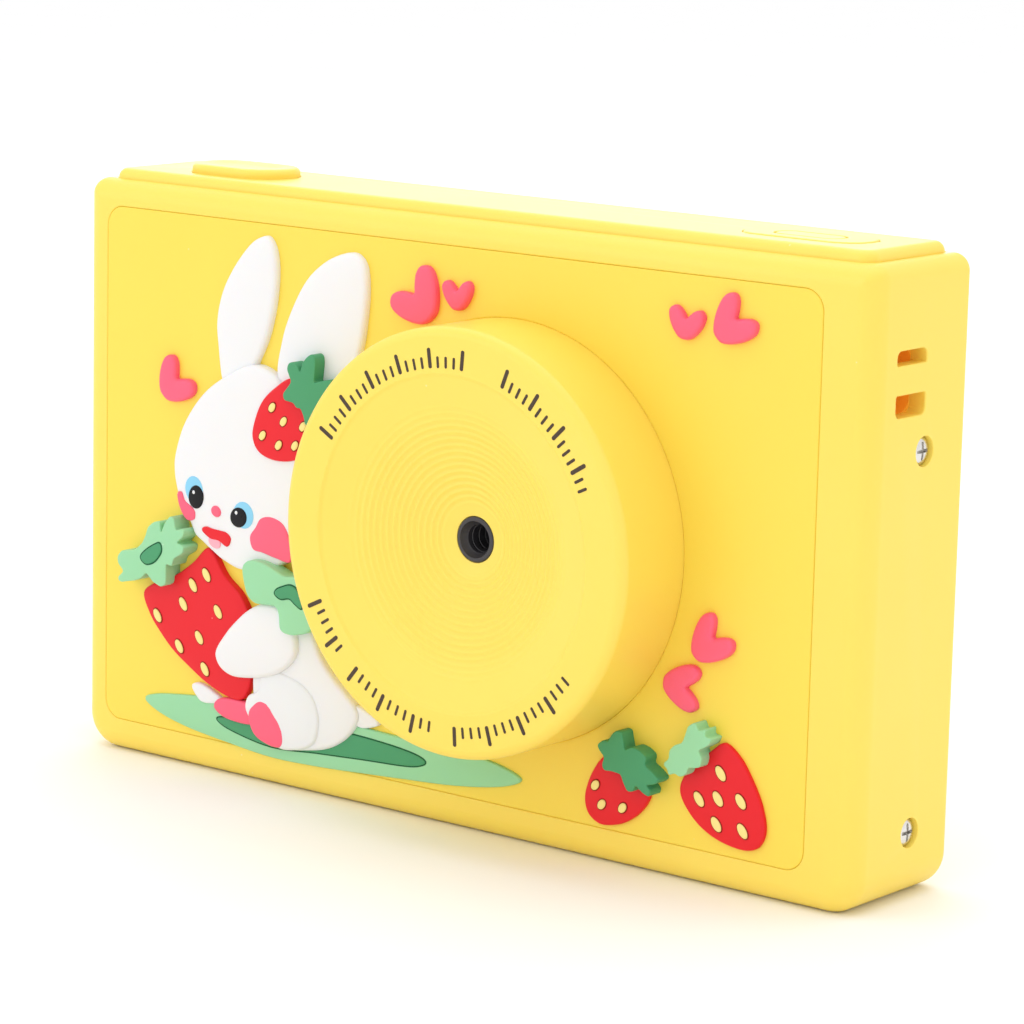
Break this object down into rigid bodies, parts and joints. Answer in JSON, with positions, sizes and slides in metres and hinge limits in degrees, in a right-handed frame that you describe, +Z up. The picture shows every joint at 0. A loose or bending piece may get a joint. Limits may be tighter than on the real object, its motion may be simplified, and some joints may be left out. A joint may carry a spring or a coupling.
{
  "type": "children's digital camera",
  "caption": "Flat yellow children's camera with a dished lens ring, soft relief rabbit and strawberries, shutter and power buttons, screen and keys behind.",
  "frame": {"origin": "middle of the flat underside, half way across the width and the housing depth", "axes": "+X along the width, to the right seen from the front; the front with the lens faces -Y; +Z up"},
  "size_m": [0.0958, 0.0251, 0.0604],
  "materials": {
    "yellow_shell": "satin moulded ABS, bright yellow",
    "yellow_soft": "matt soft PVC, bright yellow",
    "key_plastic": "satin moulded plastic, pale yellow",
    "black_plastic": "satin black moulded plastic",
    "lens_glass": "coated lens glass",
    "sensor": "glossy dark chip face",
    "screen_glass": "glossy smoked cover over a switched-off display",
    "display": "display panel with a metal back",
    "screw_steel": "bright nickel-plated steel",
    "metal_can": "stamped tinned steel",
    "circuit_board": "green solder mask",
    "chip": "matt black moulded package",
    "battery_wrap": "silver foil pouch",
    "grey_rubber": "matt silicone rubber",
    "soft_white": "matt soft PVC, white",
    "soft_pink": "matt soft PVC, pink",
    "soft_red": "matt soft PVC, red",
    "mint_green": "matt soft PVC, light green",
    "leaf_green": "matt soft PVC, leaf green"
  },
  "bodies": {
    "root": {"main_shell": "yellow_shell", "top_plate": "yellow_shell", "front_panel": "yellow_soft", "lens_ring": "yellow_shell", "lens_hood": "black_plastic", "lens_barrel": "black_plastic", "lens_element": "lens_glass", "lens_holder": "black_plastic", "image_sensor": "sensor", "rear_cover": "yellow_shell", "screen_window": "screen_glass", "side_screw_right_upper": "screw_steel", "side_screw_right_lower": "screw_steel", "side_screw_left_upper": "screw_steel", "side_screw_left_lower": "screw_steel", "board_screw_1": "screw_steel", "board_screw_2": "screw_steel", "board_screw_3": "screw_steel", "main_board": "circuit_board", "processor": "chip", "lcd_module": "display", "key_membrane": "grey_rubber", "speaker": "chip", "microphone": "metal_can", "battery": "battery_wrap", "shutter_switch": "metal_can", "power_switch": "metal_can", "usb_port": "metal_can", "card_socket": "metal_can", "grass": "mint_green", "bunny_head": "soft_white", "bunny_body": "soft_white", "bunny_arm": "soft_white", "neck_bow": "mint_green", "hugged_strawberry": "soft_red", "hugged_strawberry_leaf": "mint_green", "hair_strawberry": "soft_red", "hair_strawberry_leaf": "leaf_green", "left_strawberry": "soft_red", "left_strawberry_leaf": "leaf_green", "right_strawberry": "soft_red", "right_strawberry_leaf": "mint_green", "heart_1": "soft_pink", "heart_2": "soft_pink", "heart_3": "soft_pink", "heart_4": "soft_pink", "heart_5": "soft_pink", "heart_6": "soft_pink", "heart_7": "soft_pink"},
    "shutter_button": {"shutter_button": "yellow_shell"},
    "power_button": {"power_button": "yellow_shell"},
    "memory_card": {"memory_card": "chip"},
    "key_up": {"key_up": "key_plastic"},
    "key_down": {"key_down": "key_plastic"},
    "key_left": {"key_left": "key_plastic"},
    "key_right": {"key_right": "key_plastic"},
    "key_ok": {"key_ok": "key_plastic"},
    "key_menu": {"key_menu": "key_plastic"},
    "key_mode": {"key_mode": "key_plastic"},
    "key_play": {"key_play": "key_plastic"}
  },
  "joints": [
    {"name": "shutter_press", "type": "slide", "parent": "root", "child": "shutter_button", "axis": [0, 0, -1], "range_m": [0, 0.0008], "stiffness_N_per_m": 1500, "springref_m": -0.0004},
    {"name": "power_press", "type": "slide", "parent": "root", "child": "power_button", "axis": [0, 0, -1], "range_m": [0, 0.0005], "stiffness_N_per_m": 1500, "springref_m": -0.0004},
    {"name": "key_up_press", "type": "slide", "parent": "root", "child": "key_up", "axis": [0, -1, 0], "range_m": [0, 0.0005], "stiffness_N_per_m": 1200, "springref_m": -0.0004},
    {"name": "key_down_press", "type": "slide", "parent": "root", "child": "key_down", "axis": [0, -1, 0], "range_m": [0, 0.0005], "stiffness_N_per_m": 1200, "springref_m": -0.0004},
    {"name": "key_left_press", "type": "slide", "parent": "root", "child": "key_left", "axis": [0, -1, 0], "range_m": [0, 0.0005], "stiffness_N_per_m": 1200, "springref_m": -0.0004},
    {"name": "key_right_press", "type": "slide", "parent": "root", "child": "key_right", "axis": [0, -1, 0], "range_m": [0, 0.0005], "stiffness_N_per_m": 1200, "springref_m": -0.0004},
    {"name": "key_ok_press", "type": "slide", "parent": "root", "child": "key_ok", "axis": [0, -1, 0], "range_m": [0, 0.0005], "stiffness_N_per_m": 1200, "springref_m": -0.0004},
    {"name": "key_menu_press", "type": "slide", "parent": "root", "child": "key_menu", "axis": [0, -1, 0], "range_m": [0, 0.0005], "stiffness_N_per_m": 1200, "springref_m": -0.0004},
    {"name": "key_mode_press", "type": "slide", "parent": "root", "child": "key_mode", "axis": [0, -1, 0], "range_m": [0, 0.0005], "stiffness_N_per_m": 1200, "springref_m": -0.0004},
    {"name": "key_play_press", "type": "slide", "parent": "root", "child": "key_play", "axis": [0, -1, 0], "range_m": [0, 0.0005], "stiffness_N_per_m": 1200, "springref_m": -0.0004},
    {"name": "memory_card_slide", "type": "slide", "parent": "root", "child": "memory_card", "axis": [-1, 0, 0], "range_m": [0, 0.013]}
  ]
}
